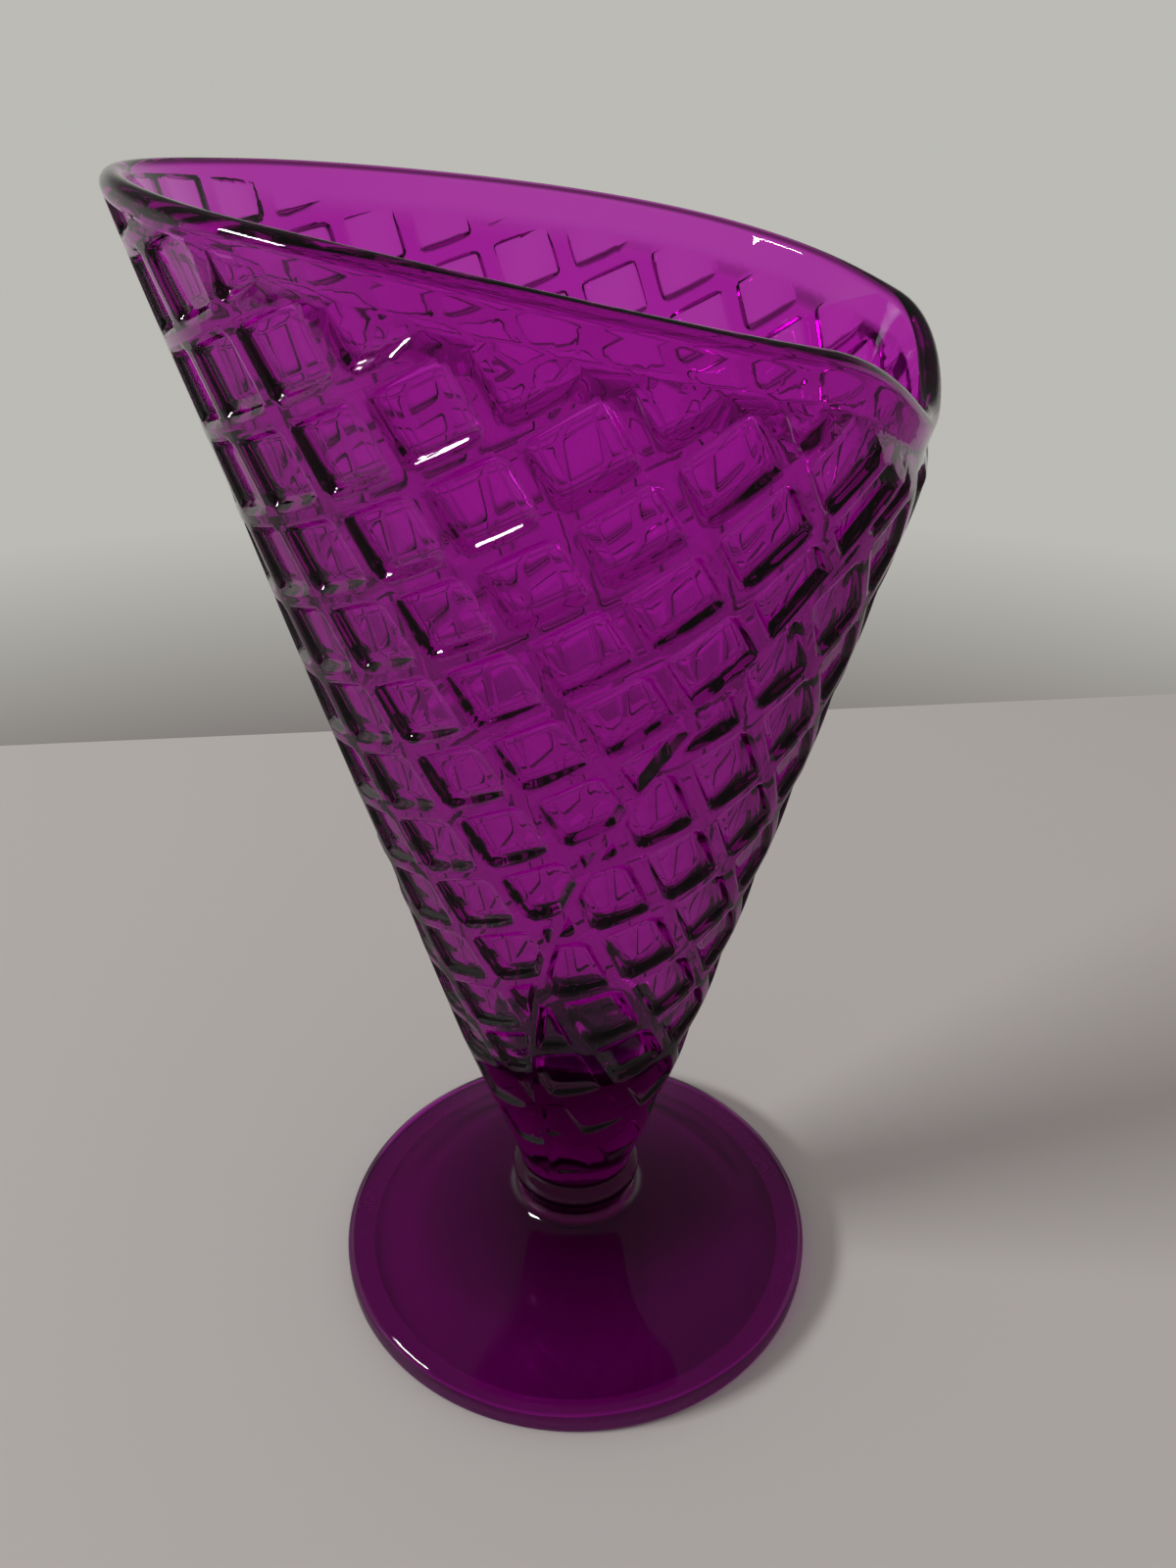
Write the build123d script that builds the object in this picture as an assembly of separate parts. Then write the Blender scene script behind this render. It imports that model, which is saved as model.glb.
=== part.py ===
from build123d import *
import math
import os

# Footed waffle-cone sundae glass in pressed glass: a rolled-wafer cone bowl, a short neck button
# and a hollow-ground round foot. Millimetres and degrees, +Z up, origin at the centre of the foot
# on the table. An azimuth is measured round Z from the front (-Y), positive towards +X.

# --- Driving dimensions ---------------------------------------------------------------------
FOOT_DIAMETER = 79.0
FOOT_HEIGHT = 14.2                # top of the foot's neck, where the button sits
FOOT_EDGE_THICKNESS = 4.6
FOOT_EDGE_ROUND = 2.1
FOOT_FLARE = 4.0                  # radius of the curve from the neck into the sloping top
FOOT_RING_WIDTH = 5.0             # flat resting ring under the edge
FOOT_RECESS_DEPTH = 2.2           # shallow recess under the foot, inside the resting ring
FOOT_RECESS_SLOPE = 35.0
FOOT_LOWER_ROUND = 1.2

BUTTON_HEIGHT = 5.2
BUTTON_DIAMETER = 21.2
BUTTON_OVERHANG = 1.3             # how far the button stands out past the foot's neck

CONE_HALF_ANGLE = 15.3
CONE_BASE_RADIUS = 9.1            # bottom of the bowl, on the button
RELIEF_HEIGHT = 1.3               # ridge tops above the pocket floors
RELIEF_FULL_ABOVE = 30.0          # above the bowl's base, where the ridges reach full height
WALL_THICKNESS = 3.0              # at a pocket floor, and at the rim
CAVITY_BOTTOM = 26.0              # lowest point inside, above the bowl's base
CAVITY_ROUND = 9.5

RIM_HIGH = 149.9                  # high side of the slanted mouth, above the bowl's base
RIM_LOW = 131.9                   # low side
RIM_HIGH_AZIMUTH = -101.6
RIM_CROWN_RADIUS = 323.0          # the slanted rim also arches along its slope
RIM_ROUND = 1.35
RIM_BAND = 4.4                    # plain band between the ridge ends and the rim
RIM_BAND_DEPTH = 1.45             # below the ridge tops: a touch under the pocket floors
RIDGE_FADE = 7.0                  # length over which the ridges sink away below the band
LEDGE_BEVEL = 0.9                 # share of the ledge below the band that the fade takes

# The wafer: a flat square-ruled sheet rolled into the cone, lapping itself along one seam.
PITCH_DOWN = 9.71                 # ridge spacing on the sheet, along the first ruling
PITCH_UP = 11.57                  # and along the second
RULING_ANGLE = 148.8              # first ruling, from the sheet's zero line
RULING_START = (176.8, -21.9)     # one ridge crossing, from the point of the rolled cone
SHEET_TURN = 100.0                # angle of flat sheet taken up by one full turn
SHEET_ADVANCE = 9.7               # how far the sheet slides along the cone in one turn
RIDGE_WIDTH = 2.0                 # flat top of a ridge
POCKET_DRAFT = 35.0               # slope of the pocket walls
POCKETS_ABOVE = 9.0               # lowest pocket centre, above the bowl's base
SEAM_AZIMUTH = 4.2                # where the sheet's edge lies at SEAM_SLANT from the cone's point
SEAM_SLANT = 120.0
SEAM_LEAN = 0.759                 # degrees of azimuth per millimetre up the cone
SEAM_CURVE = 0.006                # and per millimetre squared
SEAM_RIDGE = 1.0                  # ridge left standing along the seam
SMALLEST_POCKET = 0.08            # share of a full pocket below which a cut pocket is left out

MARGIN = 6.0                      # how far a cutter runs past what it cuts

# --- Derived values -------------------------------------------------------------------------
BUTTON_BASE = FOOT_HEIGHT
BOWL_BASE = BUTTON_BASE + BUTTON_HEIGHT
NECK_RADIUS = BUTTON_DIAMETER / 2 - BUTTON_OVERHANG
SLOPE = math.tan(math.radians(CONE_HALF_ANGLE))
SINE = math.sin(math.radians(CONE_HALF_ANGLE))
COSINE = math.cos(math.radians(CONE_HALF_ANGLE))
# Point of the cone that the ridge tops lie on; the pocket floors pass through the bowl's base.
CONE_POINT = BOWL_BASE - (CONE_BASE_RADIUS + RELIEF_HEIGHT / COSINE) / SLOPE
RIM_TOP = BOWL_BASE + RIM_HIGH


def cone_radius(height: float, depth: float) -> float:
    """Radius of the cone `depth` below the ridge tops, at a height above the table."""
    return (height - CONE_POINT) * SLOPE - depth / COSINE


def seam_azimuth(slant: float) -> float:
    """Azimuth of the sheet's lapped edge at a slant distance from the cone's point."""
    up = slant - SEAM_SLANT
    return SEAM_AZIMUTH + SEAM_LEAN * up + SEAM_CURVE * up * up


def seam_lean(slant: float) -> float:
    """How far the seam runs round the cone for each millimetre up it."""
    return math.radians(SEAM_LEAN + 2 * SEAM_CURVE * (slant - SEAM_SLANT)) * slant * SINE


def turned(profile: Sketch) -> Part:
    """Solid of revolution of a profile drawn on the XZ plane."""
    return revolve(profile, axis=Axis.Z)


def make_foot() -> Part:
    """Round foot: flared neck, sloping top, rounded edge, resting ring and a shallow recess."""
    edge = FOOT_DIAMETER / 2
    ring = edge - FOOT_RING_WIDTH
    floor = ring - FOOT_RECESS_DEPTH / math.tan(math.radians(FOOT_RECESS_SLOPE))
    # The flare is an arc that leaves the neck straight down and runs into the sloping top.
    flare = Vector(NECK_RADIUS + FOOT_FLARE, FOOT_HEIGHT)
    to_edge = Vector(edge, FOOT_EDGE_THICKNESS) - flare
    touch = math.atan2(to_edge.Y, to_edge.X) - math.acos(FOOT_FLARE / to_edge.length)
    with BuildSketch(Plane.XZ) as profile:
        with BuildLine():
            Polyline(
                (ring, 0),
                (floor, FOOT_RECESS_DEPTH),
                (0, FOOT_RECESS_DEPTH),
                (0, FOOT_HEIGHT),
                (NECK_RADIUS, FOOT_HEIGHT),
            )
            neck = CenterArc(flare, FOOT_FLARE, 180, math.degrees(touch) + 180)
            FilletPolyline(
                neck @ 1,
                (edge, FOOT_EDGE_THICKNESS),
                (edge, 0),
                (ring, 0),
                radius=[FOOT_EDGE_ROUND, FOOT_LOWER_ROUND],
            )
        make_face()
    return turned(profile.sketch)


def make_button() -> Part:
    """Neck button: a short bulging disc of glass between the foot and the bowl."""
    bulge = BUTTON_BASE + BUTTON_HEIGHT / 2
    with BuildSketch(Plane.XZ) as profile:
        with BuildLine():
            Polyline(
                (CONE_BASE_RADIUS, BOWL_BASE),
                (0, BOWL_BASE),
                (0, BUTTON_BASE),
                (NECK_RADIUS, BUTTON_BASE),
            )
            ThreePointArc(
                (NECK_RADIUS, BUTTON_BASE), (BUTTON_DIAMETER / 2, bulge), (CONE_BASE_RADIUS, BOWL_BASE)
            )
        make_face()
    return turned(profile.sketch)


def make_cone_shell() -> Part:
    """Plain cone shell at ridge level, run on past the rim, with its round-bottomed cavity."""
    top = RIM_TOP + MARGIN
    relief_start = BOWL_BASE + RELIEF_FULL_ABOVE
    bottom = BOWL_BASE + CAVITY_BOTTOM
    inside = RELIEF_HEIGHT + WALL_THICKNESS
    with BuildSketch(Plane.XZ) as profile:
        with BuildLine():
            Polyline(
                (0, bottom),
                (0, BOWL_BASE),
                (CONE_BASE_RADIUS, BOWL_BASE),
                (cone_radius(relief_start, 0), relief_start),
                (cone_radius(top, 0), top),
                (cone_radius(top, inside), top),
            )
            FilletPolyline(
                (cone_radius(top, inside), top),
                (cone_radius(bottom, inside), bottom),
                (0, bottom),
                radius=CAVITY_ROUND,
            )
        make_face()
    return turned(profile.sketch)


def above_rim(drop: float) -> Part:
    """Everything above the slanted, gently arched rim surface, lowered by `drop`."""
    reach = cone_radius(RIM_TOP, 0) + MARGIN
    middle = (RIM_HIGH + RIM_LOW) / 2
    high_side = cone_radius(RIM_TOP, 0)
    low_side = cone_radius(BOWL_BASE + RIM_LOW, 0)
    tilt = math.atan2(RIM_HIGH - RIM_LOW, high_side + low_side)
    chord_centre = (high_side - low_side) / 2
    # Centre of the arch, straight below the middle of the chord from the low to the high side.
    half_chord = math.hypot(RIM_HIGH - RIM_LOW, high_side + low_side) / 2
    below = math.sqrt(RIM_CROWN_RADIUS**2 - half_chord**2)
    across = chord_centre + below * math.sin(tilt)
    height = BOWL_BASE + middle - drop - below * math.cos(tilt)
    direction = math.radians(RIM_HIGH_AZIMUTH - 90)
    side = Plane(
        origin=(0, 0, 0),
        x_dir=(math.cos(direction), math.sin(direction), 0),
        z_dir=(math.sin(direction), -math.cos(direction), 0),
    )
    with BuildPart() as tool:
        with BuildSketch(side):
            with Locations((0, RIM_TOP)):
                Rectangle(2 * reach, RIM_TOP)
            with Locations((across, height)):
                Circle(RIM_CROWN_RADIUS, mode=Mode.SUBTRACT)
        extrude(amount=reach, both=True)
    return tool.part


def make_band_cutter() -> Part:
    """Ring outside the band's surface, above the ridge ends: leaves the plain rim band."""
    bottom = BOWL_BASE + RIM_LOW / 2
    top = RIM_TOP + MARGIN
    with BuildSketch(Plane.XZ) as profile:
        with BuildLine():
            Polyline(
                (cone_radius(bottom, RIM_BAND_DEPTH), bottom),
                (cone_radius(bottom, RIM_BAND_DEPTH) + MARGIN, bottom),
                (cone_radius(top, RIM_BAND_DEPTH) + MARGIN, top),
                (cone_radius(top, RIM_BAND_DEPTH), top),
                close=True,
            )
        make_face()
    return turned(profile.sketch) & above_rim(RIM_BAND)


def cell_on_cone(down: int, up: int) -> tuple[float, float, float]:
    """Where a cell of the flat sheet lands on the cone.

    Args:
        down: cell number along the first ruling.
        up: cell number along the second ruling.

    Returns:
        Slant distance from the cone's point, azimuth, and the first ruling's angle there from
        the line up the cone.
    """
    ruling = math.radians(RULING_ANGLE)
    first = PITCH_DOWN * (down + 0.5)
    second = PITCH_UP * (up + 0.5)
    x = RULING_START[0] + first * math.cos(ruling) + second * math.sin(ruling)
    y = RULING_START[1] + first * math.sin(ruling) - second * math.cos(ruling)
    sheet_angle = math.degrees(math.atan2(y, x))
    azimuth = sheet_angle * 360 / SHEET_TURN
    slant = math.hypot(x, y) - SHEET_ADVANCE * azimuth / 360
    return slant, azimuth, RULING_ANGLE - sheet_angle


def cone_frame(azimuth: float) -> tuple[Vector, Vector, Vector]:
    """Directions at an azimuth: up the cone, round it, and straight out of it."""
    turn = math.radians(azimuth - 90)
    up_cone = Vector(SINE * math.cos(turn), SINE * math.sin(turn), COSINE)
    round_cone = Vector(-math.sin(turn), math.cos(turn), 0)
    return up_cone, round_cone, round_cone.cross(up_cone)


def pocket_plug() -> Part:
    """Drafted plug that presses one pocket: floor on the XZ plane, walls flaring out along +Y."""
    height = 2 * RELIEF_HEIGHT
    flare = math.tan(math.radians(POCKET_DRAFT))
    length = PITCH_DOWN - RIDGE_WIDTH - 2 * RELIEF_HEIGHT * flare
    width = PITCH_UP - RIDGE_WIDTH - 2 * RELIEF_HEIGHT * flare
    spread = height * flare
    return Wedge(
        length,
        height,
        width,
        -spread,
        -spread,
        length + spread,
        width + spread,
        align=(Align.CENTER, Align.MIN, Align.CENTER),
    )


def cell_place(slant: float, azimuth: float, ruling: float) -> Location:
    """Where a cell's plug goes: X along the first ruling, Y straight out from the pocket's floor."""
    up_cone, round_cone, outward = cone_frame(azimuth)
    angle = math.radians(ruling)
    along = up_cone * math.cos(angle) + round_cone * math.sin(angle)
    floor = Vector(0, 0, CONE_POINT) + up_cone * slant - outward * RELIEF_HEIGHT
    return Plane(origin=floor, x_dir=along, z_dir=along.cross(outward)).location


def seam_wall(slant: float, side: int) -> Plane:
    """Drafted wall of the seam's ridge, facing the pockets on one side of it.

    Args:
        slant: slant distance from the cone's point.
        side: 1 for the side of growing azimuth, -1 for the other.

    Returns:
        The wall's plane, its Z pointing to that side.
    """
    up_cone, round_cone, outward = cone_frame(seam_azimuth(slant))
    along = (up_cone + round_cone * seam_lean(slant)).normalized()
    across = outward.cross(along) * side
    top = Vector(0, 0, CONE_POINT) + up_cone * slant + across * (SEAM_RIDGE / 2)
    draft = math.radians(POCKET_DRAFT)
    return Plane(origin=top, x_dir=along, z_dir=across * math.cos(draft) + outward * math.sin(draft))


def make_pocket_plugs() -> list[Part]:
    """One drafted plug for every waffle pocket, laid out on the flat sheet and rolled."""
    whole = pocket_plug()
    lowest = (BOWL_BASE + POCKETS_ABOVE - CONE_POINT) / COSINE
    highest = (RIM_TOP - CONE_POINT) / COSINE
    span = math.ceil(2 * highest / min(PITCH_DOWN, PITCH_UP))
    near_seam = math.hypot(PITCH_DOWN, PITCH_UP) / 2 + SEAM_RIDGE
    plugs = []
    for down in range(-span, span):
        for up in range(-span, span):
            slant, azimuth, ruling = cell_on_cone(down, up)
            if not lowest < slant < highest:
                continue
            reach = math.degrees(near_seam * math.hypot(1, seam_lean(slant)) / (slant * SINE))
            past_seam = azimuth - seam_azimuth(slant)
            if past_seam > reach or past_seam < -360 - reach:
                continue
            plug = cell_place(slant, azimuth, ruling) * whole
            if past_seam > -reach:
                plug = split(plug, bisect_by=seam_wall(slant, -1))
            elif past_seam < reach - 360:
                plug = split(plug, bisect_by=seam_wall(slant, 1))
            if plug.volume > SMALLEST_POCKET * whole.volume:
                plugs.append(plug)
    return plugs


def bevel_ledge(shell: Part) -> Part:
    """Bevels the ledge below the rim band, so that the ridges sink away gently towards it."""
    ledge_edge = shell.edges().sort_by(SortBy.LENGTH)[-1]
    beside = [face for face in shell.faces() if ledge_edge in face.edges()]
    ridge_tops = ShapeList(beside).filter_by(GeomType.CONE)[0]
    return chamfer(ledge_edge, RIDGE_FADE, LEDGE_BEVEL * RIM_BAND_DEPTH, reference=ridge_tops)


def rim_edges(shell: Part) -> ShapeList:
    """The two long edges of the cut rim: inside and outside."""
    cut_face = shell.faces().sort_by(Axis.Z)[-1]
    return cut_face.edges()


def make_bowl() -> Part:
    """Waffle bowl: cone shell, slanted round rim, plain band, and the pressed waffle relief."""
    shell = bevel_ledge(make_cone_shell() - make_band_cutter() - above_rim(0))
    shell = fillet(rim_edges(shell), RIM_ROUND)
    return shell - make_pocket_plugs()


os.makedirs("parts", exist_ok=True)
export_step(make_foot(), "parts/foot.step")
export_step(make_button(), "parts/neck_button.step")
export_step(make_bowl(), "parts/waffle_bowl.step")
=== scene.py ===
"""Footed waffle-cone sundae glass in violet pressed glass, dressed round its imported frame.

The glass is one casting, so it is shown as one closed mesh: a rolled wafer sheet with its pressed pockets
and its seam, a turned rim and inside wall above it, and a turned neck and foot below. Metres and radians;
an azimuth is measured round Z from the front (-Y), positive towards +X.
"""
import logging
import math
from collections.abc import Callable, Iterable
from dataclasses import dataclass
from enum import Enum

import bmesh
import bpy
from mathutils import Matrix, Vector, noise


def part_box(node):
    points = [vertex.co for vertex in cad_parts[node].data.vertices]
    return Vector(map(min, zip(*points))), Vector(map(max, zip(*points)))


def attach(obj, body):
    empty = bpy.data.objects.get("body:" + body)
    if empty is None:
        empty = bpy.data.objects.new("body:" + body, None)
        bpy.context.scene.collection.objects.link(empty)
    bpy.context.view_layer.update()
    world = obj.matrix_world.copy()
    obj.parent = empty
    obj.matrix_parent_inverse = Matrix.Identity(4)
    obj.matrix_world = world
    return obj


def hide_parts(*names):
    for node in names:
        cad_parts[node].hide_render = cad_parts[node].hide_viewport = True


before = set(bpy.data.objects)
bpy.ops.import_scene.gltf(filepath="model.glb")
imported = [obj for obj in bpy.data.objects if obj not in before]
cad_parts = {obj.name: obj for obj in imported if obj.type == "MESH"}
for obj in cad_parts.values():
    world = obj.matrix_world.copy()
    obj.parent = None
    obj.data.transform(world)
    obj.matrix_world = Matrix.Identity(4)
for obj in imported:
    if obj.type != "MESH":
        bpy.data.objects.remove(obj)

MM = 0.001
FULL_TURN = 2 * math.pi
ON_PLANE = 1e-7  # distance under which a vertex lies on a cutting plane
NEAR_END = 1e-5  # share of an edge, at either end, in which no stop splits it
SAME_STOP = 1e-6  # share of an edge under which two stops are one
log = logging.getLogger("sundae_glass")

Row = Callable[[float], Vector]
Point = tuple[float, float]
Colour = tuple[float, float, float, float]
Socket = bpy.types.NodeSocket


def smooth_step(value: float) -> float:
    """0 to 1 along a smooth S, level beyond both ends."""
    value = min(max(value, 0.0), 1.0)
    return value * value * (3 - 2 * value)


def azimuth_of(point: Vector) -> float:
    """Azimuth of a point round Z, from the front, between -pi and pi."""
    return math.atan2(point.x, -point.y)


def arc(centre: Point, radius: float, start: float, end: float, steps: int) -> list[Point]:
    """Points along an arc of a turned profile.

    Args:
        centre: radius and height of the arc's centre.
        radius: the arc's radius.
        start: first angle, from straight out.
        end: last angle.
        steps: number of spans.

    Returns:
        steps + 1 points of radius and height.
    """
    turns = [start + (end - start) * step / steps for step in range(steps + 1)]
    return [(centre[0] + radius * math.cos(turn), centre[1] + radius * math.sin(turn)) for turn in turns]


def rounded(before: Point, corner: Point, after: Point, radius: float, steps: int) -> list[Point]:
    """Points along the round of a turned profile's corner.

    Args:
        before: the profile's point ahead of the corner.
        corner: the corner.
        after: the profile's point past the corner.
        radius: the round's radius.
        steps: number of spans.

    Returns:
        steps + 1 points of radius and height, from the side of before to that of after.
    """
    middle = Vector(corner)
    back = (Vector(before) - middle).normalized()
    ahead = (Vector(after) - middle).normalized()
    half = back.angle(ahead) / 2
    centre = middle + (back + ahead).normalized() * (radius / math.sin(half))
    from_centre = middle + back * (radius / math.tan(half)) - centre
    sweep = -math.copysign(math.pi - 2 * half, back.x * ahead.y - back.y * ahead.x)
    start = math.atan2(from_centre.y, from_centre.x)
    return arc(tuple(centre), radius, start, start + sweep, steps)


@dataclass(frozen=True)
class RolledCone:
    """The cone that the ridge tops lie on, and where the flat wafer lands on it.

    Attributes:
        point: height of the cone's point.
        half_angle: angle between the cone and its axis.
        sheet_turn: angle of the flat sheet that goes once round the cone.
        sheet_advance: how far the sheet slides up the cone in one turn.
    """

    point: float
    half_angle: float = math.radians(15.3)
    sheet_turn: float = math.radians(100)
    sheet_advance: float = 9.7 * MM

    def at(self, azimuth: float, slant: float, depth: float = 0.0) -> Vector:
        """Point at a slant distance from the cone's point, a depth under the ridge tops."""
        across = slant * math.sin(self.half_angle) - depth * math.cos(self.half_angle)
        height = self.point + slant * math.cos(self.half_angle) + depth * math.sin(self.half_angle)
        return Vector((across * math.sin(azimuth), -across * math.cos(azimuth), height))

    def slant_at(self, height: float) -> float:
        """Slant distance at which the ridge tops reach a height."""
        return (height - self.point) / math.cos(self.half_angle)

    def radius_at(self, height: float, depth: float) -> float:
        """Radius, at a height, of the cone a depth under the ridge tops."""
        return (height - self.point) * math.tan(self.half_angle) - depth / math.cos(self.half_angle)

    def roll(self, sheet_x: float, sheet_y: float) -> tuple[float, float]:
        """Azimuth and slant distance where a point of the flat sheet lands."""
        azimuth = math.atan2(sheet_y, sheet_x) * FULL_TURN / self.sheet_turn
        return azimuth, math.hypot(sheet_x, sheet_y) - self.sheet_advance * azimuth / FULL_TURN

    def unroll(self, azimuth: float, slant: float) -> tuple[float, float]:
        """Point of the flat sheet that lands at an azimuth and a slant distance."""
        angle = azimuth * self.sheet_turn / FULL_TURN
        reach = slant + self.sheet_advance * azimuth / FULL_TURN
        return reach * math.cos(angle), reach * math.sin(angle)


@dataclass(frozen=True)
class WaffleRuling:
    """Ridge lines of the flat wafer: two pitches at right angles, and the section of a ridge.

    Attributes:
        pitch_down: distance between ridges along the first ruling.
        pitch_up: distance between ridges along the second ruling.
        angle: direction of the first ruling on the sheet.
        start_x: place of one ridge crossing on the sheet.
        start_y: place of the same crossing, across.
        relief: height of the ridge tops over the pocket floors.
        ridge_half: half of a ridge's top.
        draft: run of a pocket's wall for each unit of its height.
        corner: round of a pocket floor's corners.
        soft_edge: how far the mesh rounds off each edge of a wall.
        shallowest: share of the relief under which the mesh lines of a wall come no closer.
        soft_share: largest share of a wall that one soft edge takes.
        inner_line: share of the floor's half at which its one inner line runs.
    """

    pitch_down: float = 9.71 * MM
    pitch_up: float = 11.57 * MM
    angle: float = math.radians(148.8)
    start_x: float = 176.8 * MM
    start_y: float = -21.9 * MM
    relief: float = 1.15 * MM
    ridge_half: float = 0.95 * MM
    draft: float = math.tan(math.radians(29))
    corner: float = 0.5 * MM
    soft_edge: float = 0.25 * MM
    shallowest: float = 0.3
    soft_share: float = 0.4
    inner_line: float = 0.6

    LINES = 14

    def to_sheet(self, down: float, up: float) -> tuple[float, float]:
        """Point of the flat sheet at distances along the two rulings."""
        return (
            self.start_x + down * math.cos(self.angle) + up * math.sin(self.angle),
            self.start_y + down * math.sin(self.angle) - up * math.cos(self.angle),
        )

    def from_sheet(self, sheet_x: float, sheet_y: float) -> tuple[float, float]:
        """Distances along the two rulings of a point of the flat sheet."""
        off_x, off_y = sheet_x - self.start_x, sheet_y - self.start_y
        return (
            off_x * math.cos(self.angle) + off_y * math.sin(self.angle),
            off_x * math.sin(self.angle) - off_y * math.cos(self.angle),
        )

    def floor_half(self, pitch: float) -> float:
        """Half of a pocket floor's side."""
        return pitch / 2 - self.ridge_half - self.relief * self.draft

    def walls(self, from_middle_down: float, from_middle_up: float) -> float:
        """Height of a pocket's drafted walls over its floor, at distances from the pocket's middle."""
        past_down = abs(from_middle_down) - self.floor_half(self.pitch_down) + self.corner
        past_up = abs(from_middle_up) - self.floor_half(self.pitch_up) + self.corner
        return max(math.hypot(max(past_down, 0), max(past_up, 0)) - self.corner, 0) / self.draft

    def line(self, step: int, pitch: float, height: float) -> float:
        """Distance of one of a cell's mesh lines from the cell's middle.

        Args:
            step: 0 on the ridge's middle, 7 on the cell's middle.
            pitch: the cell's side.
            height: how far the ridge top stands above the pocket's floor there.

        Returns:
            The distance; lines 2 and 3 follow the top edge of the wall, 4 and 5 its foot.
        """
        floor = self.floor_half(pitch)
        wall = max(height, self.relief * self.shallowest) * self.draft
        soft = min(self.soft_edge, wall * self.soft_share)
        top = floor + wall + soft
        on_ridge = (pitch / 2, (top + pitch / 2) / 2)
        on_wall = (top, top - 2 * soft, floor + soft, floor - soft)
        return (*on_ridge, *on_wall, floor * self.inner_line, 0.0)[step]


@dataclass(frozen=True)
class Pocket:
    """One pressed pocket: the plane of its floor, and its middle along the two rulings."""

    middle: Vector
    outward: Vector
    down: float
    up: float


@dataclass(frozen=True)
class Seam:
    """The rolled sheet's lapped edge: a curve up the cone with a narrow ridge standing on it.

    Attributes:
        azimuth: where the seam passes the slant distance below.
        slant: slant distance at which azimuth and lean are given.
        lean: azimuth gained per metre up the cone there.
        curve: gain of the lean, per metre up the cone and halved.
        ridge_half: half of the ridge's top.
        edge: how far from the seam's middle the sheet is cut.
        wall_lines: distances of the mesh lines that follow the two edges of the ridge's wall.
        tolerance: how near the cut a vertex counts as lying on it.
    """

    azimuth: float = math.radians(4.2)
    slant: float = 120 * MM
    lean: float = math.radians(0.759) / MM
    curve: float = math.radians(0.006) / MM**2
    ridge_half: float = 0.5 * MM
    edge: float = 0.25 * MM
    wall_lines: tuple[float, ...] = (0.38 * MM, 0.62 * MM, 1.29 * MM, 1.53 * MM)
    tolerance: float = 0.02 * MM

    def azimuth_at(self, slant: float) -> float:
        """Azimuth of the seam at a slant distance."""
        up = slant - self.slant
        return self.azimuth + self.lean * up + self.curve * up * up

    def spread(self, slant: float, half_angle: float) -> float:
        """Distance square to the seam, per radian of azimuth."""
        around = slant * math.sin(half_angle)
        lean = self.lean + 2 * self.curve * (slant - self.slant)
        return around / math.hypot(1, around * lean)


@dataclass(frozen=True)
class Swell:
    """A smooth swell that spans part of the way round the axis.

    Attributes:
        middle: azimuth of its middle.
        half: angle from its middle to where it has died out.
        size: its size in the middle.
    """

    middle: float
    half: float
    size: float

    def at(self, azimuth: float) -> float:
        """Its size at an azimuth."""
        off = abs(math.remainder(azimuth - self.middle, FULL_TURN))
        return self.size * math.cos(min(off / self.half, 1.0) * math.pi / 2) ** 2


@dataclass(frozen=True)
class Rim:
    """The mouth: a slanted, gently arched surface that cuts the cone, and the band and bead under it.

    Attributes:
        high: height at which the arched surface cuts the cone on the mouth's high side.
        low: height at which it cuts the cone on the low side.
        cone: the cone of the ridge tops.
        high_azimuth: where the mouth is highest.
        crown_radius: radius of the arch.
        band: width of the plain band.
        band_depth: how far the band lies under the ridge tops.
        shortest_band: width of the band where it is flush with the ridge tops.
        inner_depth: how far the inside wall lies under the ridge tops.
        dips: where the rim hangs under the arch, or rises over it, on the hand-finished edge.
        flush: where the band comes out level with the ridge tops.
        ROUNDS: number of steps that find where the cone meets the arched surface.
    """

    high: float
    low: float
    cone: RolledCone
    high_azimuth: float = math.radians(-101.6)
    crown_radius: float = 323 * MM
    band: float = 4.4 * MM
    band_depth: float = 1.45 * MM
    shortest_band: float = 2.0 * MM
    inner_depth: float = 4.3 * MM
    dips: tuple[Swell, ...] = (
        Swell(middle=math.radians(70.5), half=math.radians(40), size=6.6 * MM),
        Swell(middle=math.radians(-167), half=math.radians(70), size=1.8 * MM),
        Swell(middle=math.radians(-78), half=math.radians(40), size=-0.7 * MM),
    )
    flush: Swell = Swell(middle=math.radians(-80), half=math.radians(70), size=1.0)

    ROUNDS = 6

    def depth_at(self, azimuth: float) -> float:
        """Depth of the band under the ridge tops."""
        return self.band_depth * (1 - self.flush.at(azimuth))

    def band_at(self, azimuth: float) -> float:
        """Width of the plain band."""
        return self.band - (self.band - self.shortest_band) * self.flush.at(azimuth)

    def surface(self, along: float) -> float:
        """Height of the arched surface at a distance from the axis towards the mouth's high side."""
        high_reach = self.cone.radius_at(self.high, 0)
        low_reach = -self.cone.radius_at(self.low, 0)
        chord = math.hypot(high_reach - low_reach, self.high - self.low)
        tilt = math.atan2(self.high - self.low, high_reach - low_reach)
        below = math.sqrt(self.crown_radius**2 - chord**2 / 4)
        centre_along = (high_reach + low_reach) / 2 + below * math.sin(tilt)
        centre_height = (self.high + self.low) / 2 - below * math.cos(tilt)
        return centre_height + math.sqrt(self.crown_radius**2 - (along - centre_along) ** 2)

    def slant_at(self, azimuth: float, depth: float) -> float:
        """Slant distance at which the cone, a depth under its ridge tops, meets the rim surface."""
        slant = self.cone.slant_at(self.high)
        for _ in range(self.ROUNDS):
            point = self.cone.at(azimuth, slant, depth)
            along = math.hypot(point.x, point.y) * math.cos(azimuth - self.high_azimuth)
            slant += (self.surface(along) - point.z) / math.cos(self.cone.half_angle)
        return slant - sum(dip.at(azimuth) for dip in self.dips) / math.cos(self.cone.half_angle)


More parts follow.
